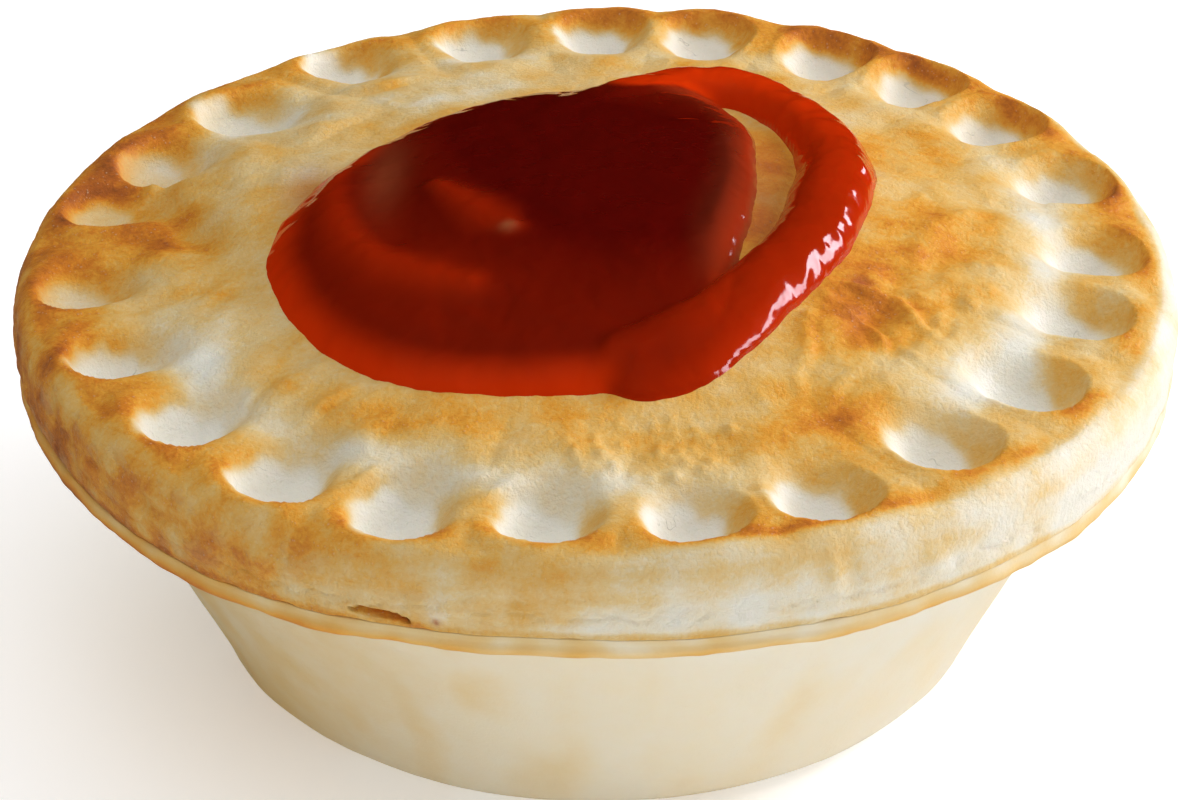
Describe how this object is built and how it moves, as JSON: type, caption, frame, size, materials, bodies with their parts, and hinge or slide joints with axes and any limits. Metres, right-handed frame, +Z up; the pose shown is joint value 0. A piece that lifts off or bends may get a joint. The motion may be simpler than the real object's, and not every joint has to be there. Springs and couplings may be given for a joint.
{
  "type": "australian meat pie",
  "caption": "Round baked meat pie with a tapered pastry case, domed golden lid, finger-pressed rim and a glossy pool of tomato sauce on top.",
  "frame": {"origin": "middle of the pie's outline seen from above, at the flat foot it stands on", "axes": "+Z up through the lid; -Y is the side nearest the camera in the picture; +X is to the right in the picture"},
  "size_m": [0.1196, 0.1204, 0.0511],
  "materials": {
    "pastry_case": "matte baked shortcrust, pale cream",
    "pastry_lid": "satin baked crust, golden with pale floured presses and brown crests",
    "tomato_sauce": "glossy wet tomato sauce, red at the edges and dark where thick"
  },
  "bodies": {
    "root": {"pastry_case": "pastry_case", "pastry_lid": "pastry_lid", "tomato_sauce": "tomato_sauce"}
  },
  "joints": []
}
